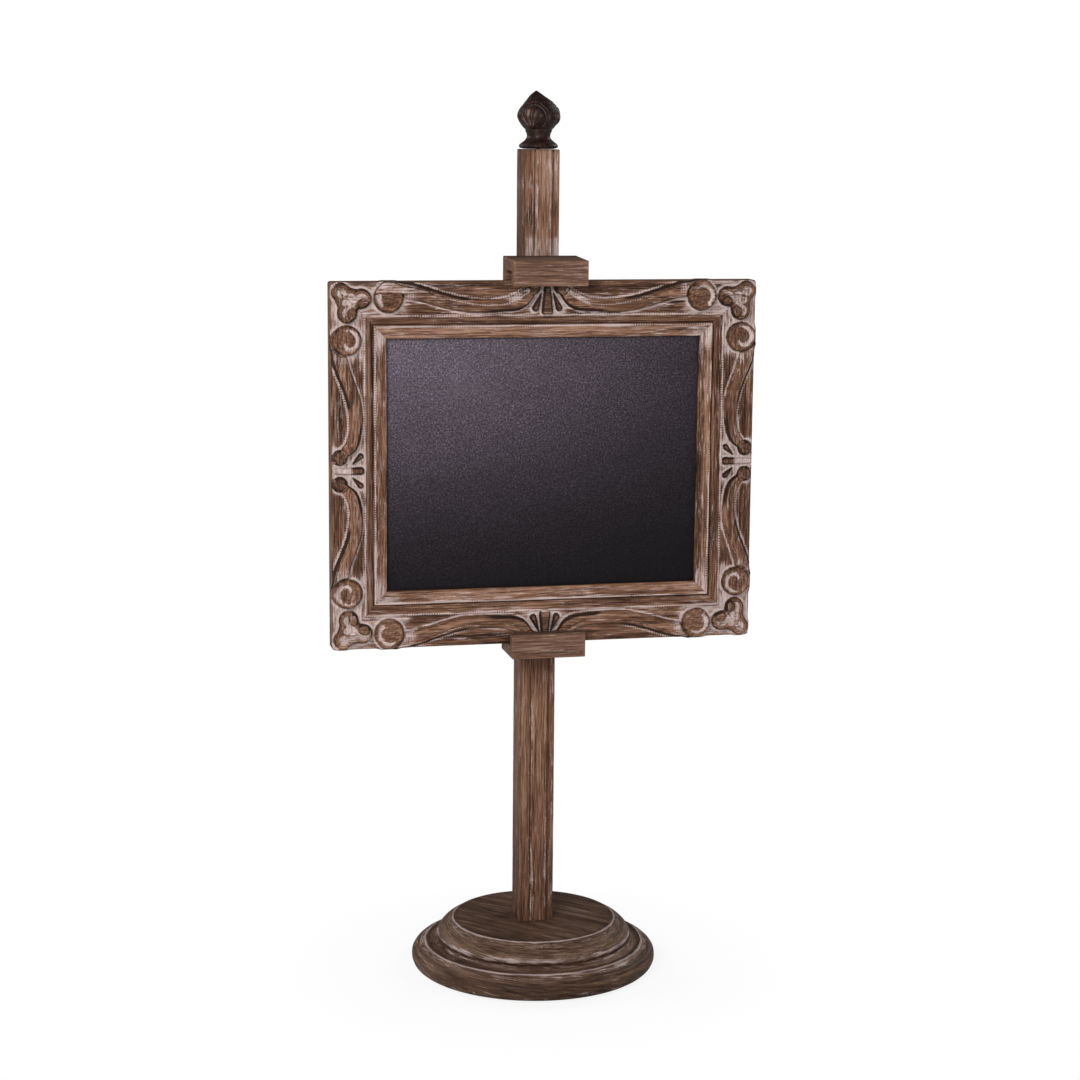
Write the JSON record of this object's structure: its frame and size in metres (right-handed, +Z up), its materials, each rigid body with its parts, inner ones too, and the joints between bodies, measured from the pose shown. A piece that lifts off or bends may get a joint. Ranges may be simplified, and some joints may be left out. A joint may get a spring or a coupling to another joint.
{
  "type": "menu chalkboard easel",
  "caption": "Free-standing easel: round base and fluted post carry a carved framed chalkboard between a fixed lower clip and a clamped upper clip.",
  "frame": {"origin": "point on the floor below the axis of the post, at the centre of the base", "axes": "+Z up along the post, -Y to the front (the writing side), +X to the viewer's right"},
  "size_m": [0.4554, 0.2696, 0.956],
  "materials": {
    "base_wood": "washed, satin",
    "post_wood": "washed, satin",
    "frame_wood": "washed, satin",
    "clip_wood": "washed, satin",
    "finial_dark": "dark stain, semi-gloss",
    "panel_black": "chalkboard paint on hardboard, fine texture",
    "backing": "bare hardboard",
    "felt": "felt",
    "steel": "zinc plated",
    "brass": "plain",
    "knob_black": "matte"
  },
  "bodies": {
    "stand": {"base_lower_disc": "base_wood", "base_upper_disc": "base_wood", "base_bolt": "steel", "base_washer": "steel", "base_screw_1": "steel", "base_screw_2": "steel", "base_screw_3": "steel", "base_screw_4": "steel", "foot_pad_1": "felt", "foot_pad_2": "felt", "foot_pad_3": "felt", "foot_pad_4": "felt", "post": "post_wood", "finial": "finial_dark", "finial_stud": "steel", "lower_clip": "clip_wood", "lower_clip_screw_1": "steel", "lower_clip_screw_2": "steel"},
    "framed_board": {"frame_rail_top": "frame_wood", "frame_rail_right": "frame_wood", "frame_rail_bottom": "frame_wood", "frame_rail_left": "frame_wood", "chalkboard_panel": "panel_black", "backing_board": "backing", "mitre_spline_top_left": "steel", "mitre_spline_top_right": "steel", "mitre_spline_bottom_right": "steel", "mitre_spline_bottom_left": "steel", "button_pivot_1": "steel", "button_pivot_2": "steel", "button_pivot_3": "steel", "button_pivot_4": "steel"},
    "top_clamp": {"upper_clip": "clip_wood", "yoke_bar": "clip_wood", "yoke_cheek_left": "clip_wood", "yoke_cheek_right": "clip_wood", "yoke_front_screw_left": "steel", "yoke_front_screw_right": "steel", "yoke_rear_screw_left": "steel", "yoke_rear_screw_right": "steel", "threaded_insert": "brass"},
    "clamp_shoe": {"clamp_shoe": "brass"},
    "clamp_knob": {"clamp_screw": "steel", "clamp_knob": "knob_black"},
    "turn_button_1": {"turn_button_1": "brass"},
    "turn_button_2": {"turn_button_2": "brass"},
    "turn_button_3": {"turn_button_3": "brass"},
    "turn_button_4": {"turn_button_4": "brass"}
  },
  "joints": [
    {"name": "board_slide", "type": "slide", "parent": "stand", "child": "framed_board", "axis": [1, 0, 0], "range_m": [-0.275, 0.275]},
    {"name": "top_clamp_slide", "type": "slide", "parent": "stand", "child": "top_clamp", "axis": [0, 0, 1], "range_m": [-0.0095, 0.105]},
    {"name": "clamp_shoe_slide", "type": "slide", "parent": "top_clamp", "child": "clamp_shoe", "axis": [0, 1, 0], "range_m": [0, 0.0016]},
    {"name": "clamp_knob_turn", "type": "hinge", "parent": "clamp_shoe", "child": "clamp_knob", "pos_m": [0, 0.0355, 0.768], "axis": [0, 1, 0], "range_deg": [0, 540]},
    {"name": "turn_button_1_swing", "type": "hinge", "parent": "framed_board", "child": "turn_button_1", "pos_m": [-0.1012, -0.0322, 0.7185], "axis": [0, 1, 0], "range_deg": [-90, 90]},
    {"name": "turn_button_2_swing", "type": "hinge", "parent": "framed_board", "child": "turn_button_2", "pos_m": [0.0988, -0.0322, 0.7185], "axis": [0, 1, 0], "range_deg": [-90, 90]},
    {"name": "turn_button_3_swing", "type": "hinge", "parent": "framed_board", "child": "turn_button_3", "pos_m": [0.0988, -0.0322, 0.418], "axis": [0, 1, 0], "range_deg": [-90, 90]},
    {"name": "turn_button_4_swing", "type": "hinge", "parent": "framed_board", "child": "turn_button_4", "pos_m": [-0.1012, -0.0322, 0.418], "axis": [0, 1, 0], "range_deg": [-90, 90]}
  ],
  "couplings": [
    {"joint": "clamp_shoe_slide", "follows": "clamp_knob_turn", "m_per_rad": 0.00015915}
  ]
}
